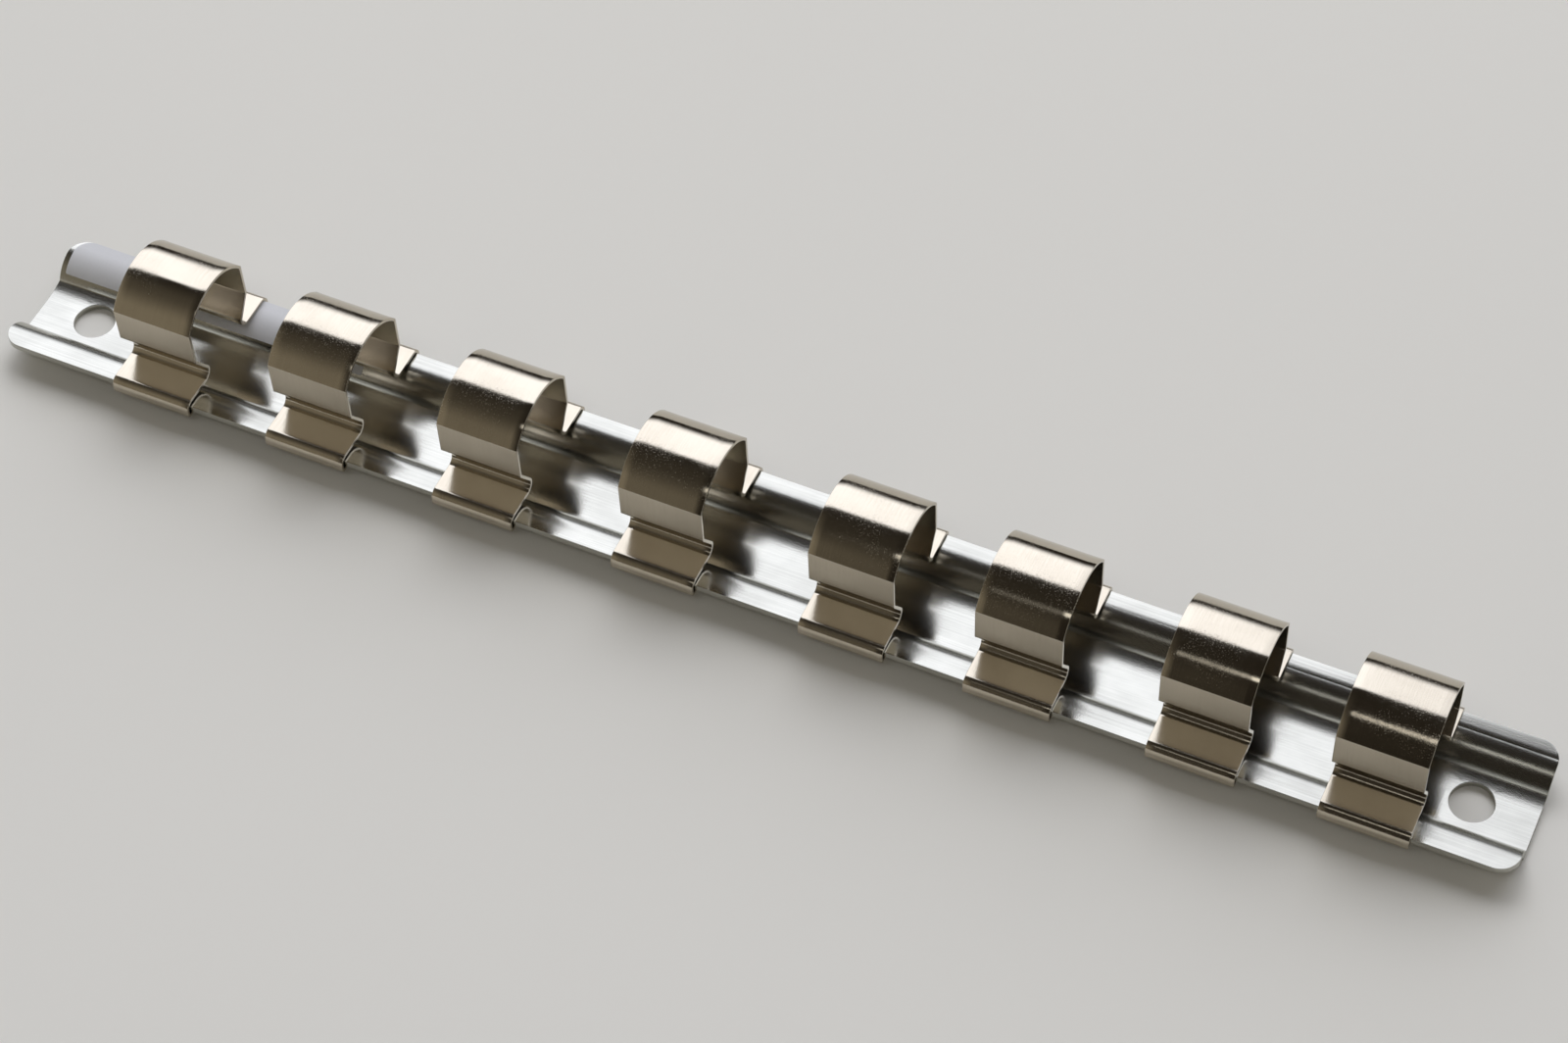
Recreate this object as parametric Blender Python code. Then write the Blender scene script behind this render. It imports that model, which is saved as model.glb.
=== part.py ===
"""Socket rail: a formed steel channel that carries eight sliding spring clips.

The rail lies along X, its flat web down and its two flanges level. Each clip is one
strip of spring steel: it hooks round both flanges, narrows to a neck over the channel
and opens into the loop that a socket's square drive is pushed over.
All sizes are in metres, and the origin is under the middle of the rail.
"""
import math

import bmesh
import bpy
from mathutils import Vector

# Rail
RAIL_LENGTH = 0.2250
RAIL_WIDTH = 0.0213
SHEET_THICKNESS = 0.0010
CHANNEL_DEPTH = 0.0036
CHANNEL_FLOOR_WIDTH = 0.0090
WALL_SLOPE = math.radians(74)
FLOOR_BEND_RADIUS = 0.0003
WALL_FLAT_HEIGHT = 0.0001
FLANGE_CORNER_RADIUS = 0.0030
SCREW_HOLE_RADIUS = 0.0030
SCREW_HOLE_INSET = 0.0086

# Clips
STRIP_WIDTH = 0.0123
STRIP_THICKNESS = 0.00045
CLIP_CLEARANCE = 0.0003
HOOK_REACH = 0.0016
HOOK_RISE = 0.0004
HOOK_BEND_RADIUS = 0.0003
NECK_WIDTH = 0.0098
NECK_HEIGHT = 0.0015
NECK_FOOT_RADIUS = 0.0012
NECK_TOP_RADIUS = 0.0005
SHOULDER_HEIGHT = 0.0035
SHOULDER_RADIUS = 0.0003
LOOP_WIDTH = 0.0144
FACET_HEIGHT = 0.0056
CROWN_RISE = 0.0038
# Each clip's middle, as a share of half the rail's length
CLIP_PLACE_SHARES = (-0.774, -0.553, -0.318, -0.073, 0.175, 0.387, 0.615, 0.824)

# Paper label, stuck over the back flange and wall
LABEL_LENGTH = 0.0500
LABEL_THICKNESS = 0.0001
LABEL_GLUE = 0.0001
LABEL_INSET = 0.0002
LABEL_FOOT_HEIGHT = 0.0014

# Fineness of the round stretches, and how far a cutter runs past what it cuts
BEND_STEPS = 5
CROWN_STEPS = 22
HOLE_SIDES = 48
CUT_OVERRUN = 0.0010

FLOOR_Z = SHEET_THICKNESS
FLANGE_Z = FLOOR_Z + CHANNEL_DEPTH
FOOT_Z = FLANGE_Z + CLIP_CLEARANCE + STRIP_THICKNESS


def clear_scene():
    for thing in list(bpy.data.objects):
        bpy.data.objects.remove(thing, do_unlink=True)


def metal_or_paper(name, colour, metallic, roughness):
    """Make a Principled material of one colour."""
    material = bpy.data.materials.new(name)
    material.use_nodes = True
    shader = material.node_tree.nodes["Principled BSDF"]
    shader.inputs["Base Color"].default_value = (*colour, 1.0)
    shader.inputs["Metallic"].default_value = metallic
    shader.inputs["Roughness"].default_value = roughness
    material.diffuse_color = (*colour, 1.0)
    return material


def left_of(direction):
    """Turn a direction in the section a quarter turn to the left."""
    return Vector((-direction.y, direction.x))


def corner_arc(before, corner, after, radius):
    """Points of the arc that rounds one corner of a bent line."""
    way_in = (corner - before).normalized()
    way_out = (after - corner).normalized()
    turn = math.atan2(way_in.cross(way_out), way_in.dot(way_out))
    start = corner - way_in * radius * math.tan(abs(turn) / 2)
    centre = start + left_of(way_in) * math.copysign(radius, turn)
    points = []
    for step in range(BEND_STEPS + 1):
        angle = turn * step / BEND_STEPS
        arm = start - centre
        turned = arm * math.cos(angle) + left_of(arm) * math.sin(angle)
        points.append(centre + turned)
    return points


def rounded_line(corners, radii):
    """A line through the corners, with an arc at each corner but the first and last."""
    corners = [Vector(corner) for corner in corners]
    points = [corners[0]]
    for before, corner, after, radius in zip(corners, corners[1:], corners[2:], radii):
        points += corner_arc(before, corner, after, radius)
    points.append(corners[-1])
    return points


def offset_line(points, distance):
    """The line moved to its left by a distance, its corners mitred."""
    sides = [left_of((b - a).normalized()) for a, b in zip(points, points[1:])]
    befores = [sides[0]] + sides
    afters = sides + [sides[-1]]
    moved = []
    for point, before, after in zip(points, befores, afters):
        moved.append(point + (before + after) * distance / (1 + before.dot(after)))
    return moved


def bent_sheet(name, face_line, thickness, length, material):
    """A sheet bent in the YZ plane along its face line, with its thickness to the left."""
    back_line = offset_line(face_line, thickness)
    mesh = bpy.data.meshes.new(name)
    grid = bmesh.new()
    rings = []
    for face_point, back_point in zip(face_line, back_line):
        ring = []
        for x, point in (
            (-length / 2, face_point),
            (length / 2, face_point),
            (length / 2, back_point),
            (-length / 2, back_point),
        ):
            ring.append(grid.verts.new((x, point.x, point.y)))
        rings.append(ring)
    for ring, following in zip(rings, rings[1:]):
        for side in range(4):
            beside = (side + 1) % 4
            grid.faces.new((ring[side], following[side], following[beside], ring[beside]))
    grid.faces.new(rings[0])
    grid.faces.new(reversed(rings[-1]))
    bmesh.ops.recalc_face_normals(grid, faces=grid.faces)
    grid.to_mesh(mesh)
    grid.free()
    mesh.shade_smooth()
    mesh.set_sharp_from_angle(angle=math.radians(25))
    mesh.materials.append(material)
    return mesh


def place(name, mesh, x=0.0):
    """Put a mesh in the scene as a named object, at a place along the rail."""
    thing = bpy.data.objects.new(name, mesh)
    thing.location.x = x
    bpy.context.collection.objects.link(thing)
    return thing


def cutter(name, outline, low, high):
    """A hidden upright prism over an outline of X and Y points, for a Boolean."""
    mesh = bpy.data.meshes.new(name)
    shape = bmesh.new()
    floor = shape.faces.new([shape.verts.new((x, y, low)) for x, y in outline])
    grown = bmesh.ops.extrude_face_region(shape, geom=[floor])["geom"]
    lifted = [part for part in grown if isinstance(part, bmesh.types.BMVert)]
    bmesh.ops.translate(shape, verts=lifted, vec=(0, 0, high - low))
    bmesh.ops.recalc_face_normals(shape, faces=shape.faces)
    shape.to_mesh(mesh)
    shape.free()
    tool = place(name, mesh)
    tool.hide_render = True
    tool.display_type = "WIRE"
    return tool


def cut(thing, tool, operation):
    modifier = thing.modifiers.new(tool.name, "BOOLEAN")
    modifier.operation = operation
    modifier.solver = "EXACT"
    modifier.object = tool


def circle(x, y, radius, sides, start=0.0, sweep=math.tau):
    """Points round a circle or, with a sweep below a full turn, along an arc of it."""
    closed = math.isclose(sweep, math.tau)
    count = sides if closed else sides + 1
    angles = [start + sweep * side / sides for side in range(count)]
    return [(x + radius * math.cos(a), y + radius * math.sin(a)) for a in angles]


def rounded_plan(length, width, radius):
    """Outline of a rectangle with round corners, seen from above."""
    outline = []
    quarter = math.pi / 2
    for turn, (side_x, side_y) in enumerate(((1, 1), (-1, 1), (-1, -1), (1, -1))):
        x = side_x * (length / 2 - radius)
        y = side_y * (width / 2 - radius)
        outline += circle(x, y, radius, 2 * BEND_STEPS, quarter * turn, quarter)
    return outline


def wall_y(height):
    """Distance of the channel wall from the middle, at a height over the floor."""
    return CHANNEL_FLOOR_WIDTH / 2 + height / math.tan(WALL_SLOPE)


def flange_bend():
    """Radius of the wide bend that takes up the wall above its short flat stretch."""
    run_in = math.tan(WALL_SLOPE / 2)
    wall_left = (CHANNEL_DEPTH - WALL_FLAT_HEIGHT) / math.sin(WALL_SLOPE)
    return wall_left / run_in - FLOOR_BEND_RADIUS


def mirrored(half):
    """A line that starts at the back, followed by its own mirror image at the front."""
    return half + [(-y, z) for y, z in reversed(half)]


def rail_line():
    """The rail's upper face, from the back flange's edge to the front one's."""
    corners = mirrored([
        (RAIL_WIDTH / 2 + CUT_OVERRUN, FLANGE_Z),
        (wall_y(CHANNEL_DEPTH), FLANGE_Z),
        (wall_y(0), FLOOR_Z),
    ])
    radii = (flange_bend(), FLOOR_BEND_RADIUS, FLOOR_BEND_RADIUS, flange_bend())
    return rounded_line(corners, radii)


def make_rail(material):
    """The channel, cut to its outline in plan and drilled for a screw near each end."""
    sheet_length = RAIL_LENGTH + 2 * CUT_OVERRUN
    mesh = bent_sheet("rail", rail_line(), SHEET_THICKNESS, sheet_length, material)
    rail = place("rail", mesh)
    low = -CUT_OVERRUN
    high = FLANGE_Z + CUT_OVERRUN
    plan = rounded_plan(RAIL_LENGTH, RAIL_WIDTH, FLANGE_CORNER_RADIUS)
    cut(rail, cutter("rail_outline", plan, low, high), "INTERSECT")
    for side, name in ((-1, "left_hole"), (1, "right_hole")):
        x = side * (RAIL_LENGTH / 2 - SCREW_HOLE_INSET)
        hole = circle(x, 0, SCREW_HOLE_RADIUS, HOLE_SIDES)
        cut(rail, cutter(name, hole, low, high), "DIFFERENCE")
    return rail


def crown_line(half_width, spring_z, rise):
    """Arc over the loop, from its back crease to its front one."""
    radius = (half_width ** 2 + rise ** 2) / (2 * rise)
    reach = 2 * math.atan(rise / half_width)
    centre_z = spring_z + rise - radius
    points = []
    for step in range(CROWN_STEPS + 1):
        angle = reach * (1 - 2 * step / CROWN_STEPS)
        points.append(Vector((radius * math.sin(angle), centre_z + radius * math.cos(angle))))
    return points


def clip_line():
    """The clip's outer face, from the back hook over the crown to the front hook."""
    lip_y = RAIL_WIDTH / 2 + CLIP_CLEARANCE + STRIP_THICKNESS
    tip_z = FLANGE_Z - SHEET_THICKNESS - CLIP_CLEARANCE - STRIP_THICKNESS
    hook_z = tip_z - HOOK_RISE
    neck_z = FOOT_Z + NECK_HEIGHT
    shoulder_z = neck_z + SHOULDER_HEIGHT
    crease_z = shoulder_z + FACET_HEIGHT
    corners = [
        (RAIL_WIDTH / 2 - HOOK_REACH, tip_z),
        (lip_y, hook_z),
        (lip_y, FOOT_Z),
        (NECK_WIDTH / 2, FOOT_Z),
        (NECK_WIDTH / 2, neck_z),
        (LOOP_WIDTH / 2, shoulder_z),
        (LOOP_WIDTH / 2, crease_z),
    ]
    hook_bend = HOOK_BEND_RADIUS + STRIP_THICKNESS
    shoulder_bend = SHOULDER_RADIUS + STRIP_THICKNESS
    radii = (hook_bend, hook_bend, NECK_FOOT_RADIUS, NECK_TOP_RADIUS, shoulder_bend)
    back = rounded_line(corners, radii)
    front = [Vector((-point.x, point.y)) for point in reversed(back)]
    crown = crown_line(LOOP_WIDTH / 2, crease_z, CROWN_RISE)
    return back + crown[1:-1] + front


def make_clips(material):
    """Eight like clips at their places, each with its origin on its line of travel."""
    mesh = bent_sheet("clip", clip_line(), STRIP_THICKNESS, STRIP_WIDTH, material)
    clips = []
    for number, share in enumerate(CLIP_PLACE_SHARES, start=1):
        clips.append(place(f"clip_{number}", mesh, share * RAIL_LENGTH / 2))
    return clips


def make_label(material):
    """Thin paper folded over the back flange, from the left end of the rail."""
    corners = [
        (RAIL_WIDTH / 2 + CUT_OVERRUN, FLANGE_Z),
        (wall_y(CHANNEL_DEPTH), FLANGE_Z),
        (wall_y(0), FLOOR_Z),
    ]
    rail_face = rounded_line(corners, (flange_bend(),))
    paper_face = offset_line(rail_face, -LABEL_GLUE - LABEL_THICKNESS)
    sheet_length = LABEL_LENGTH + CUT_OVERRUN
    mesh = bent_sheet("label", paper_face, LABEL_THICKNESS, sheet_length, material)
    right_end = LABEL_INSET + LABEL_LENGTH - RAIL_LENGTH / 2
    label = place("label", mesh, right_end - sheet_length / 2)
    plan = rounded_plan(
        RAIL_LENGTH - 2 * LABEL_INSET,
        RAIL_WIDTH - 2 * LABEL_INSET,
        FLANGE_CORNER_RADIUS - LABEL_INSET,
    )
    foot_z = FLOOR_Z + LABEL_FOOT_HEIGHT
    cut(label, cutter("label_outline", plan, foot_z, FLANGE_Z + CUT_OVERRUN), "INTERSECT")
    return label


def main():
    clear_scene()
    make_rail(metal_or_paper("bright_zinc", (0.80, 0.81, 0.82), 1.0, 0.12))
    make_clips(metal_or_paper("nickel_spring_steel", (0.70, 0.66, 0.60), 1.0, 0.18))
    make_label(metal_or_paper("paper", (0.72, 0.72, 0.73), 0.0, 0.65))


main()
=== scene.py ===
"""Looks of the socket rail: plated steel, sprung clips, a paper label, floor, light and camera."""

import math
import random

import bmesh
import bpy
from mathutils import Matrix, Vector


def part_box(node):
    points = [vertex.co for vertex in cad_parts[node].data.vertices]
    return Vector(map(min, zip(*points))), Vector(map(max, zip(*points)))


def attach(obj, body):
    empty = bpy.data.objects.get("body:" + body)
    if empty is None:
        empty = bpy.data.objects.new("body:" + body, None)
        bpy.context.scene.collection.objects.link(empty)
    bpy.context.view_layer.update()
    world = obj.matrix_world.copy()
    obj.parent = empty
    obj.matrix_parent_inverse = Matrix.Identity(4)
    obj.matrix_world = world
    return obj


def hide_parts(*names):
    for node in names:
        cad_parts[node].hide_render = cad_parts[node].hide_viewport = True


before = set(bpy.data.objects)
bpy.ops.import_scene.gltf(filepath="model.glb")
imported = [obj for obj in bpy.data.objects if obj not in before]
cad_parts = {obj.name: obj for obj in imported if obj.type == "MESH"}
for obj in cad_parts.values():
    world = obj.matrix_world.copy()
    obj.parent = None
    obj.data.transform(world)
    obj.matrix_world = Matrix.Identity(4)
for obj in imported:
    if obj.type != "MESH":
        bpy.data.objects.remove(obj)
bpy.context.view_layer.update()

MM = 0.001

# Sizes read from the frame
rail_low, rail_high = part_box("rail")
RAIL_LENGTH = rail_high.x - rail_low.x
RAIL_HALF_WIDTH = rail_high.y
FLANGE_Z = rail_high.z
CLIPS = [f"clip_{number}" for number in range(1, 9)]
label_low, label_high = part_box("label")

# Sheet of the rail
SHEET = 1.0 * MM
WEB_CORNER = 4.5 * MM
CORNER_BEND = 0.25 * MM
FLANGE_BEND = 4.68 * MM
WEB_FLAT = 0.9 * MM
WEB_BEND = 12.0 * MM
WEB_LEAN = math.radians(15)
BACK_CORNER = 4.45 * MM
BACK_BEND = 5.1 * MM
RAIL_CORNER = 3.0 * MM
HOLE_RADIUS = 3.0 * MM
HOLE_INSET = 8.6 * MM
HOLE_SQUARE = 3.7 * MM
HOLE_RINGS = (0.15 * MM, 0.35 * MM, 0.6 * MM)
HOLE_SIDES = 64
RAIL_EDGE = 0.07 * MM
RAIL_STATION = 2.5 * MM

# Strip of the clips, which grips the flanges
STRIP = 0.45 * MM
FOOT_GAP = 0.3 * MM
SIDE_GAP = 0.25 * MM
HOOK_GAP = 0.04 * MM
HOOK_RISE = 0.66 * MM
HOOK_REACH = 1.6 * MM
HOOK_BEND = 0.18 * MM
FOLD_BEND = 1.3 * MM
NECK_HALF = 4.9 * MM
NECK_RISE = 1.34 * MM
NECK_FOOT_BEND = 1.15 * MM
NECK_TOP_BEND = 0.4 * MM
SHOULDER_RISE = 3.5 * MM
SHOULDER_BEND = 0.25 * MM
LOOP_HALF = 7.2 * MM
FACET_RISE = 5.6 * MM
CREASE_BEND = 0.22 * MM
CROWN_RISE = 3.8 * MM
CREASE_Z = 15.8 * MM
CLIP_GIVE = 0.05 * MM
CLIP_SEED = 5
STRIP_EDGE = 0.05 * MM
STRIP_STATION = 1.2 * MM

# Paper of the label
PAPER = 0.056 * MM
PAPER_LIFT = 0.08 * MM
PAPER_EDGE = 0.012 * MM
PAPER_WIDTH = 6.0 * MM
PAPER_END = 0.7 * MM
PAPER_INSET = 0.06 * MM
PAPER_CORNER = 2.5 * MM
PAPER_SMALL_CORNER = 0.3 * MM
PAPER_STATION = 1.0 * MM

# Fineness of the meshes
BEND_STEPS = 10
CROWN_STEPS = 56
CORNER_SIDES = 12
STRIP_CORNER_SIDES = 2
EDGE_SEGMENTS = 3
SHARP = math.radians(60)
CUT_SNAP = 1e-8
RIM_START = 0.05

# Steel: scales are spots for each millimetre along X, Y and Z
ZINC_LIGHT = (0.52, 0.512, 0.46)
ZINC_DARK = (0.42, 0.413, 0.37)
ZINC_LINES = (0.05, 6.0, 6.0)
ZINC_POLISH = 0.05
ZINC_GRAIN = 0.004 * MM
NICKEL_LIGHT = (0.56, 0.505, 0.41)
NICKEL_DARK = (0.51, 0.455, 0.365)
NICKEL_LINES = (6.0, 0.2, 0.2)
NICKEL_POLISH = 0.04
NICKEL_GRAIN = 0.003 * MM
GRAIN_SCALE = (5.0, 5.0, 5.0)
HAZE_SCALE = (0.12, 0.2, 0.2)
STEEL_DETAIL = 3.0
GRAIN_SHARPNESS = 0.6
SHADE_LIMITS = (0.35, 0.7)
HAZE_SHADE = 0.6
LINE_SHADE = 0.4

# Steel: how much rougher each kind of mark leaves it, and how high it stands in the grain
HAZE_ROUGHNESS = 0.04
LINE_ROUGHNESS = 0.04
WORKED_ROUGHNESS = 0.04
WORKED_GRAIN = 0.12
SCUFF_ROUGHNESS = 0.03
SCUFF_SPOTS = 0.2
SPOT_LIMITS = (0.5, 0.7)
SCUFF_LIMITS = (0.3, 0.6)
PLAIN_HEIGHT = 0.5
WORKED_HEIGHT = 1.5
SCUFF_HEIGHT = 1.4
LINE_HEIGHT = 0.6

# Back flange of the rail, which leans up a little towards the right-hand end
FLANGE_TILT = 0.17
TILT_START = 8.3 * MM
TILT_ALONG = (30 * MM, 105 * MM)

# Paper and floor
PAPER_LIGHT = (0.78, 0.78, 0.79)
PAPER_SHADE = (0.66, 0.66, 0.67)
FIBRE_SCALE = (3.0, 6.0, 6.0)
FIBRE_DETAIL = 4.0
FIBRE_SHARPNESS = 0.65
FIBRE_DEPTH = 0.02 * MM
FIBRE_STRENGTH = 0.6
FIBRE_ROUGHNESS = 0.15
PAPER_ROUGHNESS = 0.5
PAPER_CLOUD_SCALE = (0.25, 0.4, 0.4)
FLOOR_LIGHT = (0.83, 0.81, 0.75)
FLOOR_SHADE = (0.80, 0.78, 0.72)
FLOOR_CLOUD_SCALE = (0.004, 0.004, 0.004)
FLOOR_ROUGHNESS = 0.7
FLOOR_GLOSS = 0.2
FLOOR_HALF = 1.5
FLOOR_SQUARES = 24
CLOUD_DETAIL = 2.0

# Room round the rail: limits are of a direction's X, Y or Z, over which a light comes or goes
ROOM_COLOUR = (0.026, 0.022, 0.017)
WINDOW_COLOUR = (1.92, 1.98, 2.2)
WINDOW_SLOPE = 0.27
WINDOW_SILL = (-0.03, 0.05)
WINDOW_FOOT = (0.12, 0.40)
WINDOW_RIGHT = (0.35, 0.6)
WINDOW_LEFT = (-0.85, -0.6)
WINDOW_DIMMING = (-0.25, 0.05)
WINDOW_LOSS = 0.25
WALL_COLOUR = (0.28, 0.25, 0.195)
WALL_LEFT = (0.08, 0.5)
WALL_TOP = (0.5, 0.97)
WALL_BACK = (-0.2, 0.2)
WALL_LOSS = 0.85
SIDE_LAMP_COLOUR = (0.35, 0.34, 0.325)
SIDE_LAMP_RIGHT = (0.15, 0.45)
SIDE_LAMP_BACK = (-0.25, 0.0)
SIDE_LAMP_FOOT = (0.25, 0.5)
RIGHT_END_COLOUR = (0.40, 0.39, 0.37)
RIGHT_END = (0.45, 0.8)
LEFT_END_COLOUR = (0.55, 0.535, 0.50)
LEFT_END = (0.6, 0.85)
STRIP_LAMP_COLOUR = (1.5, 1.48, 1.42)
STRIP_LAMP_SLOPE = 0.577
STRIP_LAMP_FRONT = (-0.075, -0.045)
STRIP_LAMP_BACK = (0.045, 0.075)
STRIP_LAMP_LEFT = (-0.23, -0.04)
STRIP_LAMP_RIGHT = (0.2, 0.35)

# Lamps: a soft one high behind the rail and a weaker one high in front of it
LAMP_DISTANCE = 0.7
BACK_LAMP_WAY = Vector((-0.186, 0.572, 0.799))
BACK_LAMP_SIZE = (0.38, 0.38)
BACK_LAMP_POWER = 0.85
FRONT_LAMP_WAY = Vector((0.03, -0.49, 0.871))
FRONT_LAMP_SIZE = (0.30, 0.14)
FRONT_LAMP_POWER = 0.22

# Photograph and camera
PHOTO_WIDTH_PIXELS = 1600
FOCAL_PIXELS = 3651
SENSOR_WIDTH = 36.0
NEAREST_SEEN = 0.01
FARTHEST_SEEN = 20.0
CAMERA_AZIMUTH = math.radians(27.25)
CAMERA_ELEVATION = math.radians(52.64)
CAMERA_ROLL = math.radians(-3.19)
CAMERA_DISTANCE = 493.8 * MM
CAMERA_TARGET = Vector((2.95 * MM, 7.06 * MM, 0.0))


def left_of(direction):
    """Turn a direction in the section a quarter turn to the left."""
    return Vector((-direction.y, direction.x))


class BentLine:
    """A section line with round corners, read by the distance along it from where Y is 0."""

    def __init__(self, corners, radii):
        corners = [Vector(corner) for corner in corners]
        self.points = [corners[0]]
        self.bends = []
        for before, corner, after, radius in zip(corners, corners[1:], corners[2:], radii):
            self.add_corner(before, corner, after, radius)
        self.points.append(corners[-1])
        self.measure()

    def add_corner(self, before, corner, after, radius):
        way_in = (corner - before).normalized()
        way_out = (after - corner).normalized()
        turn = math.atan2(way_in.cross(way_out), way_in.dot(way_out))
        start = corner - way_in * radius * math.tan(abs(turn) / 2)
        centre = start + left_of(way_in) * math.copysign(radius, turn)
        arm = start - centre
        first = len(self.points)
        for step in range(BEND_STEPS + 1):
            angle = turn * step / BEND_STEPS
            self.points.append(centre + arm * math.cos(angle) + left_of(arm) * math.sin(angle))
        self.bends.append((first, len(self.points) - 1))

    def measure(self):
        """Work out the distance and the left-hand side at each point."""
        runs = [(b - a).length for a, b in zip(self.points, self.points[1:])]
        sides = [left_of((b - a).normalized()) for a, b in zip(self.points, self.points[1:])]
        self.distances = [0.0]
        for run in runs:
            self.distances.append(self.distances[-1] + run)
        self.length = self.distances[-1]
        for (a, b), distance, run in zip(zip(self.points, self.points[1:]), self.distances, runs):
            if a.x > 0 >= b.x:
                self.middle = distance + run * a.x / (a.x - b.x)
        self.sides = []
        for before, after in zip([sides[0]] + sides, sides + [sides[-1]]):
            self.sides.append((before + after) / (1 + before.dot(after)))

    def at(self, height, depth):
        """Point of the section at a height over the middle, at a depth to the left."""
        distance = self.middle - height
        index = 1
        while index < len(self.points) - 1 and self.distances[index] < distance:
            index += 1
        run = self.distances[index] - self.distances[index - 1]
        share = (distance - self.distances[index - 1]) / run
        point = self.points[index - 1].lerp(self.points[index], share)
        side = self.sides[index - 1].lerp(self.sides[index], share)
        return point + side * depth

    def bent(self, height, margin):
        """How far into a bend a place lies, from 0 on the flat to 1."""
        distance = self.middle - height
        nearest = min(
            max(self.distances[first] - distance, distance - self.distances[last], 0.0)
            for first, last in self.bends
        )
        return max(0.0, 1.0 - nearest / margin)

    def stations(self):
        """Heights of all its points but the ends, for cuts across the blank."""
        return [self.middle - distance for distance in self.distances[1:-1]]

    def ends(self):
        """Heights of its front end and its back end."""
        return self.middle - self.length, self.middle


def arc(x, y, radius, sides, start, sweep):
    """Points of an arc round a centre, with both its ends."""
    angles = [start + sweep * side / sides for side in range(sides + 1)]
    return [(x + radius * math.cos(a), y + radius * math.sin(a)) for a in angles]


def rounded_blank(left, right, low, high, radii, sides=CORNER_SIDES):
    """Outline of a flat blank, its round corners taken in turn from the upper right."""
    outline = []
    quarter = math.pi / 2
    corners = ((right, high, -1, -1), (left, high, 1, -1), (left, low, 1, 1), (right, low, -1, 1))
    for turn, ((x, y, way_x, way_y), radius) in enumerate(zip(corners, radii)):
        outline += arc(x + way_x * radius, y + way_y * radius, radius, sides, quarter * turn, quarter)
    return outline


def cut_across(flat, places, axis, whole=()):
    """Cut the flat blank at each place along an axis, but for faces kept whole."""
    for place in places:
        point = Vector((0, 0, 0))
        point[axis] = place
        normal = Vector((0, 0, 0))
        normal[axis] = 1.0
        faces = [face for face in flat.faces if face not in whole]
        everything = flat.verts[:] + flat.edges[:] + faces
        bmesh.ops.bisect_plane(flat, geom=everything, plane_co=point, plane_no=normal, dist=CUT_SNAP)


def face_at(flat, x):
    """The face whose middle lies nearest to a place on the X axis."""
    place = Vector((x, 0, 0))
    return min(flat.faces, key=lambda face: (face.calc_center_median() - place).length)


def ring_edges(flat, x, radius):
    """Add a closed ring of edges round a place on the X axis."""
    round_x = arc(x, 0, radius, HOLE_SIDES, 0, math.tau)[:-1]
    ring = [flat.verts.new((ring_x, ring_y, 0)) for ring_x, ring_y in round_x]
    return [flat.edges.new((a, b)) for a, b in zip(ring, ring[1:] + ring[:1])]


def punch(flat, face, x, radius):
    """Punch a round hole in a face, with close rings of faces round it."""
    rim = list(face.edges)
    bmesh.ops.delete(flat, geom=[face], context="FACES_ONLY")
    inner = ring_edges(flat, x, radius)
    for step in HOLE_RINGS:
        outer = ring_edges(flat, x, radius + step)
        bmesh.ops.bridge_loops(flat, edges=inner + outer)
        inner = outer
    bmesh.ops.triangle_fill(flat, edges=rim + inner, use_beauty=True)


def rolled_edges(flat, thickness):
    """The edges round both faces of a flat sheet."""
    edges = []
    for edge in flat.edges:
        level = abs(edge.verts[0].co.z - edge.verts[1].co.z) < thickness / 2
        if level and edge.calc_face_angle(0.0) > SHARP:
            edges.append(edge)
    return edges


def bend_sheet(flat, line, thickness, edge, lift):
    """Lay the flat sheet along a section line, and mark its bends and its rims."""
    flat.faces.ensure_lookup_table()
    bend = flat.verts.layers.float.new("bend")
    rim = flat.verts.layers.float.new("rim")
    for vert in flat.verts:
        x, height, depth = vert.co.x, vert.co.y, -vert.co.z
        vert[bend] = line.bent(height, thickness / 2)
        inside = min(depth, thickness - depth)
        vert[rim] = 1.0 if inside > edge * RIM_START else 0.0
        point = line.at(height, depth - lift)
        vert.co = Vector((x, point.x, point.y))


def pressed_sheet(name, outline, line, thickness, edge, stations, holes=(), lift=0.0):
    """Cut a blank, punch it, thicken it, roll its edges and bend it along its section line."""
    flat = bmesh.new()
    flat.faces.new([flat.verts.new((x, y, 0)) for x, y in outline])
    cut_across(flat, stations, 0)
    squares = []
    if holes:
        cut_across(flat, (-HOLE_SQUARE, HOLE_SQUARE), 1)
        squares = [face_at(flat, hole) for hole in holes]
    cut_across(flat, line.stations(), 1, squares)
    for square, hole in zip(squares, holes):
        punch(flat, square, hole, HOLE_RADIUS)
    for face in flat.faces:
        if face.normal.z < 0:
            face.normal_flip()
    grown = bmesh.ops.extrude_face_region(flat, geom=flat.faces[:])["geom"]
    sunk = [part for part in grown if isinstance(part, bmesh.types.BMVert)]
    bmesh.ops.translate(flat, verts=sunk, vec=(0, 0, -thickness))
    bmesh.ops.recalc_face_normals(flat, faces=flat.faces)
    bmesh.ops.bevel(
        flat, geom=rolled_edges(flat, thickness), offset=edge, offset_type="OFFSET",
        segments=EDGE_SEGMENTS, profile=0.5, affect="EDGES", clamp_overlap=False, loop_slide=True,
    )
    bend_sheet(flat, line, thickness, edge, lift)
    mesh = bpy.data.meshes.new(name)
    flat.to_mesh(mesh)
    flat.free()
    mesh.shade_smooth()
    piece = bpy.data.objects.new(name, mesh)
    bpy.context.collection.objects.link(piece)
    weighted = piece.modifiers.new("weighted", "WEIGHTED_NORMAL")
    weighted.mode = "FACE_AREA"
    return piece


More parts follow.
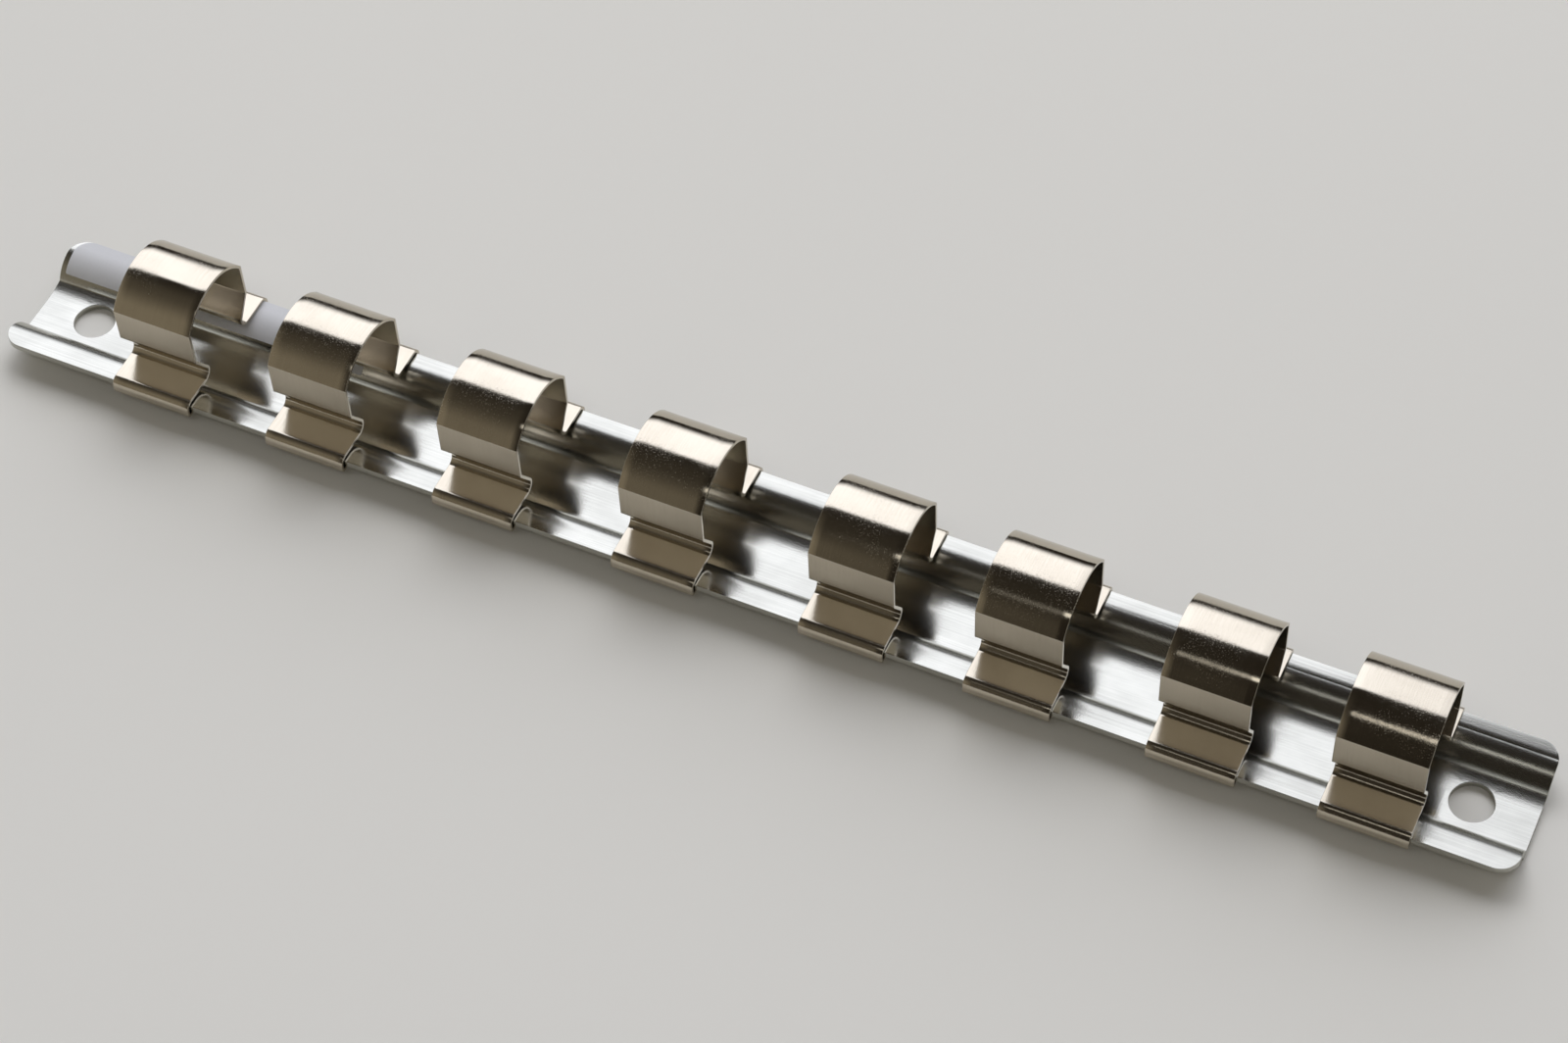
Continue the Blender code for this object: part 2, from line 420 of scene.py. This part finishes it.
def spread(low, high, step):
    """Even places strictly between two ends."""
    count = max(1, round((high - low) / step))
    return [low + (high - low) * index / count for index in range(1, count)]


class Value:
    """The output of a shader node; arithmetic on it adds the Math nodes."""

    def __init__(self, shader, socket):
        self.shader = shader
        self.socket = socket

    def __add__(self, other):
        return self.shader.math("ADD", self, other)

    def __radd__(self, other):
        return self.shader.math("ADD", other, self)

    def __sub__(self, other):
        return self.shader.math("SUBTRACT", self, other)

    def __rsub__(self, other):
        return self.shader.math("SUBTRACT", other, self)

    def __mul__(self, other):
        return self.shader.math("MULTIPLY", self, other)


class Shader:
    """The nodes of one material, or of the world."""

    def __init__(self, owner):
        owner.use_nodes = True
        self.tree = owner.node_tree
        self.tree.nodes.clear()

    def node(self, kind, settings=None, sockets=None, output=0):
        """Add a node, with its settings first and then its sockets' values or links."""
        made = self.tree.nodes.new(kind)
        for name, value in (settings or {}).items():
            setattr(made, name, value)
        for name, value in (sockets or {}).items():
            if isinstance(value, Value):
                self.tree.links.new(value.socket, made.inputs[name])
            else:
                made.inputs[name].default_value = value
        return Value(self, made.outputs[output]) if made.outputs else None

    def math(self, operation, first, second):
        return self.node("ShaderNodeMath", {"operation": operation}, {0: first, 1: second})

    def ease(self, value, low, high):
        """0 below the low limit, 1 above the high one, smooth between."""
        return self.node(
            "ShaderNodeMapRange", {"interpolation_type": "SMOOTHSTEP"},
            {"Value": value, "From Min": low, "From Max": high},
        )

    def mix(self, share, first, second):
        """Mix two colours."""
        colours = {}
        for name, colour in ((6, first), (7, second)):
            colours[name] = colour if isinstance(colour, Value) else (*colour, 1.0)
        return self.node("ShaderNodeMix", {"data_type": "RGBA"}, {0: share, **colours}, output=2)

    def reach(self, way):
        """How far along a direction a spot on the object lies, in metres."""
        spot = self.node("ShaderNodeTexCoord", output=3)
        return self.node(
            "ShaderNodeVectorMath", {"operation": "DOT_PRODUCT"}, {0: spot, 1: way}, output=1,
        )

    def places(self, scale):
        """Places on the object in millimetres, stretched by a scale along each axis."""
        spot = self.node("ShaderNodeTexCoord", output=3)
        stretch = tuple(factor / MM for factor in scale)
        return self.node("ShaderNodeVectorMath", {"operation": "MULTIPLY"}, {0: spot, 1: stretch})

    def noise(self, scale, detail, roughness=0.5):
        """Noise from 0 to 1, its scale in spots for each millimetre along each axis."""
        return self.node(
            "ShaderNodeTexNoise", {"noise_dimensions": "3D"},
            {"Vector": self.places(scale), "Scale": 1.0, "Detail": detail, "Roughness": roughness},
        )

    def attribute(self, name):
        return self.node("ShaderNodeAttribute", {"attribute_name": name}, output=2)


def plated_steel(name, light, dark, lines, polish, grain_depth, tilt=0.0, scuffs=0.0):
    """Bright plated sheet: fine rolling lines, grain in the bends and on the sheared rims.

    The tilt is how steeply the back flange leans up at its right-hand end.
    The scuffs are how much the sheet is scuffed above the clips' creases.
    """
    material = bpy.data.materials.new(name)
    shader = Shader(material)
    worked = shader.math("MAXIMUM", shader.attribute("bend"), shader.attribute("rim"))
    rolled = shader.noise(lines, STEEL_DETAIL)
    grain = shader.noise(GRAIN_SCALE, STEEL_DETAIL, GRAIN_SHARPNESS)
    haze = shader.noise(HAZE_SCALE, STEEL_DETAIL)
    crown = shader.ease(shader.reach((0, 0, 1)), CREASE_Z, CREASE_Z + MM)
    scuffed = crown * shader.ease(haze, *SCUFF_LIMITS) * scuffs
    shade = shader.ease(haze * HAZE_SHADE + rolled * LINE_SHADE, *SHADE_LIMITS)
    roughness = (
        polish + haze * HAZE_ROUGHNESS + rolled * LINE_ROUGHNESS
        + worked * (WORKED_ROUGHNESS + grain * WORKED_GRAIN)
        + scuffed * (SCUFF_ROUGHNESS + shader.ease(grain, *SPOT_LIMITS) * SCUFF_SPOTS)
    )
    stands = PLAIN_HEIGHT + worked * WORKED_HEIGHT + scuffed * SCUFF_HEIGHT
    height = (grain * stands + rolled * LINE_HEIGHT) * grain_depth
    if tilt:
        past = shader.math("MAXIMUM", shader.reach((0, 1, 0)) - TILT_START, 0.0)
        height = height + past * shader.ease(shader.reach((1, 0, 0)), *TILT_ALONG) * tilt
    normal = shader.node(
        "ShaderNodeBump", None, {"Strength": 1.0, "Distance": 1.0, "Height": height},
    )
    surface = shader.node("ShaderNodeBsdfPrincipled", None, {
        "Base Color": shader.mix(shade, light, dark),
        "Metallic": 1.0, "Roughness": roughness, "Normal": normal,
    })
    shader.node("ShaderNodeOutputMaterial", None, {"Surface": surface})
    return material


def label_paper():
    """Matt paper with a faint fibre."""
    material = bpy.data.materials.new("label_paper")
    shader = Shader(material)
    fibre = shader.noise(FIBRE_SCALE, FIBRE_DETAIL, FIBRE_SHARPNESS)
    cloud = shader.noise(PAPER_CLOUD_SCALE, CLOUD_DETAIL)
    colour = shader.mix(fibre * 0.5 + cloud * 0.5, PAPER_SHADE, PAPER_LIGHT)
    normal = shader.node("ShaderNodeBump", None, {
        "Strength": FIBRE_STRENGTH, "Distance": FIBRE_DEPTH, "Height": fibre,
    })
    roughness = PAPER_ROUGHNESS + fibre * FIBRE_ROUGHNESS
    surface = shader.node("ShaderNodeBsdfPrincipled", None, {
        "Base Color": colour, "Roughness": roughness, "Normal": normal,
    })
    shader.node("ShaderNodeOutputMaterial", None, {"Surface": surface})
    return material


def floor_material():
    """Plain pale board with a faint cloud."""
    material = bpy.data.materials.new("pale_floor")
    shader = Shader(material)
    cloud = shader.noise(FLOOR_CLOUD_SCALE, CLOUD_DETAIL)
    surface = shader.node("ShaderNodeBsdfPrincipled", None, {
        "Base Color": shader.mix(cloud, FLOOR_SHADE, FLOOR_LIGHT),
        "Roughness": FLOOR_ROUGHNESS, "Specular IOR Level": FLOOR_GLOSS,
    })
    shader.node("ShaderNodeOutputMaterial", None, {"Surface": surface})
    return material


def dress(piece, body, node, material):
    """Give a piece its finish and let it stand for its node."""
    piece.data.materials.append(material)
    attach(piece, body)
    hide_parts(node)


def rail_section():
    """Flat web that curves up at the back; a tight corner and a wide bend to each flange."""
    depth = FLANGE_Z - SHEET
    front_lean = math.acos(1 - depth / (FLANGE_BEND + CORNER_BEND))
    foot = WEB_FLAT + WEB_BEND * math.tan(WEB_LEAN / 2)
    corner_rise = (BACK_CORNER - foot) * math.tan(WEB_LEAN)
    left = depth - corner_rise
    setback = CORNER_BEND * math.cos(WEB_LEAN) + BACK_BEND
    back_lean = math.acos((setback - left) / (CORNER_BEND + BACK_BEND))
    corners = [
        (RAIL_HALF_WIDTH, FLANGE_Z),
        (BACK_CORNER + left / math.tan(back_lean), FLANGE_Z),
        (BACK_CORNER, SHEET + corner_rise),
        (foot, SHEET),
        (-WEB_CORNER, SHEET),
        (-WEB_CORNER - depth / math.tan(front_lean), FLANGE_Z),
        (-RAIL_HALF_WIDTH, FLANGE_Z),
    ]
    return BentLine(corners, (BACK_BEND, CORNER_BEND, WEB_BEND, CORNER_BEND, FLANGE_BEND))


def make_rail(material):
    """The rail, with a square of its web kept whole round each screw hole until it is punched."""
    line = rail_section()
    half = RAIL_LENGTH / 2
    outline = rounded_blank(-half, half, *line.ends(), [RAIL_CORNER] * 4)
    hole_x = half - HOLE_INSET
    inner = hole_x - HOLE_SQUARE
    outer = hole_x + HOLE_SQUARE
    stations = [-outer, -inner, *spread(-inner, inner, RAIL_STATION), inner, outer]
    rail = pressed_sheet(
        "rail_sheet", outline, line, SHEET, RAIL_EDGE, stations, holes=(-hole_x, hole_x),
    )
    dress(rail, "rail_body", "rail", material)


def clip_section(give):
    """Outer face of a clip, from its back hook over the crown to the front hook."""
    foot_z = FLANGE_Z + FOOT_GAP + STRIP
    lip_y = RAIL_HALF_WIDTH + SIDE_GAP + STRIP
    tip_z = FLANGE_Z - SHEET - HOOK_GAP - STRIP
    hook_z = tip_z - HOOK_RISE
    neck_z = foot_z + NECK_RISE
    shoulder_z = neck_z + SHOULDER_RISE
    loop_half = LOOP_HALF + give
    crease_z = shoulder_z + FACET_RISE
    half = [
        (RAIL_HALF_WIDTH - HOOK_REACH, tip_z),
        (lip_y, hook_z),
        (lip_y, foot_z),
        (NECK_HALF, foot_z),
        (NECK_HALF, neck_z),
        (loop_half, shoulder_z),
        (loop_half, crease_z),
    ]
    radii = [HOOK_BEND + STRIP, FOLD_BEND, NECK_FOOT_BEND, NECK_TOP_BEND, SHOULDER_BEND + STRIP]
    radius = (loop_half ** 2 + CROWN_RISE ** 2) / (2 * CROWN_RISE)
    reach = 2 * math.atan(CROWN_RISE / loop_half)
    crown = []
    for step in range(1, CROWN_STEPS):
        angle = reach * (1 - 2 * step / CROWN_STEPS)
        crown.append((radius * math.sin(angle), crease_z + CROWN_RISE - radius + radius * math.cos(angle)))
    return half, radii, crown


class ClipLine(BentLine):
    """A clip's section: bends at the corners, and a crown that is one plain arc."""

    def __init__(self, give):
        half, radii, crown = clip_section(give)
        self.points = [Vector(half[0])]
        self.bends = []
        before_crown = [Vector(point) for point in half] + [Vector(crown[0])]
        after_crown = [Vector(crown[-1])] + [Vector((-y, z)) for y, z in reversed(half)]
        back_radii = radii + [CREASE_BEND]
        for index, radius in enumerate(back_radii):
            self.add_corner(*before_crown[index:index + 3], radius)
        self.points += [Vector(point) for point in crown]
        for index, radius in enumerate(reversed(back_radii)):
            self.add_corner(*after_crown[index:index + 3], radius)
        self.points.append(after_crown[-1])
        self.measure()


def make_clips(material):
    """The eight clips, no two sprung quite alike."""
    hand = random.Random(CLIP_SEED)
    for name in CLIPS:
        low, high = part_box(name)
        line = ClipLine(hand.uniform(-1.0, 1.0) * CLIP_GIVE)
        corners = [STRIP_EDGE] * 4
        outline = rounded_blank(low.x, high.x, *line.ends(), corners, STRIP_CORNER_SIDES)
        stations = spread(low.x, high.x, STRIP_STATION)
        clip = pressed_sheet(f"{name}_strip", outline, line, STRIP, STRIP_EDGE, stations)
        dress(clip, f"{name}_body", name, material)


def make_label(material):
    """Paper stuck over the back flange and down its bend."""
    line = rail_section()
    top = line.middle - PAPER_INSET
    corners = [PAPER_SMALL_CORNER, PAPER_CORNER, PAPER_SMALL_CORNER, PAPER_SMALL_CORNER]
    left = label_low.x + PAPER_END
    outline = rounded_blank(left, label_high.x, top - PAPER_WIDTH, top, corners)
    stations = spread(left, label_high.x, PAPER_STATION)
    label = pressed_sheet(
        "label_sheet", outline, line, PAPER, PAPER_EDGE, stations, lift=PAPER_LIFT,
    )
    dress(label, "rail_body", "label", material)


def make_floor():
    flat = bmesh.new()
    bmesh.ops.create_grid(
        flat, x_segments=FLOOR_SQUARES, y_segments=FLOOR_SQUARES, size=FLOOR_HALF,
    )
    mesh = bpy.data.meshes.new("floor")
    flat.to_mesh(mesh)
    flat.free()
    floor = bpy.data.objects.new("floor", mesh)
    bpy.context.collection.objects.link(floor)
    mesh.materials.append(floor_material())


def light_room():
    """A window behind the rail, and a dim room with a strip lamp in front, as a world."""
    world = bpy.data.worlds.new("room")
    bpy.context.scene.world = world
    shader = Shader(world)
    way = shader.node("ShaderNodeTexCoord")
    split = shader.tree.nodes.new("ShaderNodeSeparateXYZ")
    shader.tree.links.new(way.socket, split.inputs[0])
    x, y, z = (Value(shader, socket) for socket in split.outputs)
    sill = y - z * WINDOW_SLOPE
    window = (
        shader.ease(sill, *WINDOW_SILL) * shader.ease(z, *WINDOW_FOOT)
        * (1 - shader.ease(x, *WINDOW_RIGHT)) * shader.ease(x, *WINDOW_LEFT)
        * (1 - shader.ease(x, *WINDOW_DIMMING) * WINDOW_LOSS)
    )
    over = y + z * STRIP_LAMP_SLOPE
    strip = (
        shader.ease(over, *STRIP_LAMP_FRONT) * (1 - shader.ease(over, *STRIP_LAMP_BACK))
        * shader.ease(x, *STRIP_LAMP_LEFT) * (1 - shader.ease(x, *STRIP_LAMP_RIGHT))
    )
    side_lamp = (
        shader.ease(x, *SIDE_LAMP_RIGHT) * (1 - shader.ease(y, *SIDE_LAMP_BACK))
        * shader.ease(z, *SIDE_LAMP_FOOT)
    )
    wall = (
        shader.ease(0 - x, *WALL_LEFT) * (1 - shader.ease(z, *WALL_TOP) * WALL_LOSS)
        * (1 - shader.ease(y, *WALL_BACK))
    )
    colour = shader.mix(wall, ROOM_COLOUR, WALL_COLOUR)
    colour = shader.mix(side_lamp, colour, SIDE_LAMP_COLOUR)
    colour = shader.mix(shader.ease(x, *RIGHT_END), colour, RIGHT_END_COLOUR)
    colour = shader.mix(shader.ease(0 - x, *LEFT_END), colour, LEFT_END_COLOUR)
    colour = shader.mix(strip, colour, STRIP_LAMP_COLOUR)
    colour = shader.mix(window, colour, WINDOW_COLOUR)
    light = shader.node("ShaderNodeBackground", None, {"Color": colour, "Strength": 1.0})
    shader.node("ShaderNodeOutputWorld", None, {"Surface": light})


def hang_lamp(name, way, size, power):
    """Hang an oblong lamp that faces the rail, left out of what the metal mirrors."""
    data = bpy.data.lights.new(name, "AREA")
    data.shape = "RECTANGLE"
    data.size, data.size_y = size
    data.energy = power
    lamp = bpy.data.objects.new(name, data)
    bpy.context.collection.objects.link(lamp)
    lamp.location = way * LAMP_DISTANCE
    lamp.rotation_euler = way.to_track_quat("Z", "Y").to_euler()
    lamp.visible_camera = False
    lamp.visible_glossy = False


def make_camera():
    """The camera that took the photograph: round from the front, up, and rolled a little."""
    data = bpy.data.cameras.new("photo_camera")
    data.sensor_width = SENSOR_WIDTH
    data.lens = FOCAL_PIXELS * SENSOR_WIDTH / PHOTO_WIDTH_PIXELS
    data.clip_start = NEAREST_SEEN
    data.clip_end = FARTHEST_SEEN
    camera = bpy.data.objects.new("photo_camera", data)
    bpy.context.collection.objects.link(camera)
    bpy.context.scene.camera = camera
    flat = math.cos(CAMERA_ELEVATION)
    back = Vector((
        math.sin(CAMERA_AZIMUTH) * flat, -math.cos(CAMERA_AZIMUTH) * flat, math.sin(CAMERA_ELEVATION),
    ))
    camera.location = CAMERA_TARGET + back * CAMERA_DISTANCE
    turn = (-back).to_track_quat("-Z", "Y").to_matrix().to_4x4()
    roll = math.cos(CAMERA_ROLL), math.sin(CAMERA_ROLL)
    camera.rotation_mode = "QUATERNION"
    right = turn.col[0].xyz * roll[0] + turn.col[1].xyz * roll[1]
    up = turn.col[1].xyz * roll[0] - turn.col[0].xyz * roll[1]
    turn.col[0].xyz = right
    turn.col[1].xyz = up
    camera.rotation_quaternion = turn.to_quaternion()


def main():
    bpy.context.scene.view_settings.view_transform = "Standard"
    make_camera()
    light_room()
    hang_lamp("back_lamp", BACK_LAMP_WAY, BACK_LAMP_SIZE, BACK_LAMP_POWER)
    hang_lamp("front_lamp", FRONT_LAMP_WAY, FRONT_LAMP_SIZE, FRONT_LAMP_POWER)
    make_floor()
    zinc = plated_steel(
        "bright_zinc", ZINC_LIGHT, ZINC_DARK, ZINC_LINES, ZINC_POLISH, ZINC_GRAIN,
        tilt=FLANGE_TILT,
    )
    nickel = plated_steel(
        "nickel_spring_steel", NICKEL_LIGHT, NICKEL_DARK, NICKEL_LINES, NICKEL_POLISH,
        NICKEL_GRAIN, scuffs=1.0,
    )
    make_rail(zinc)
    make_clips(nickel)
    make_label(label_paper())


main()
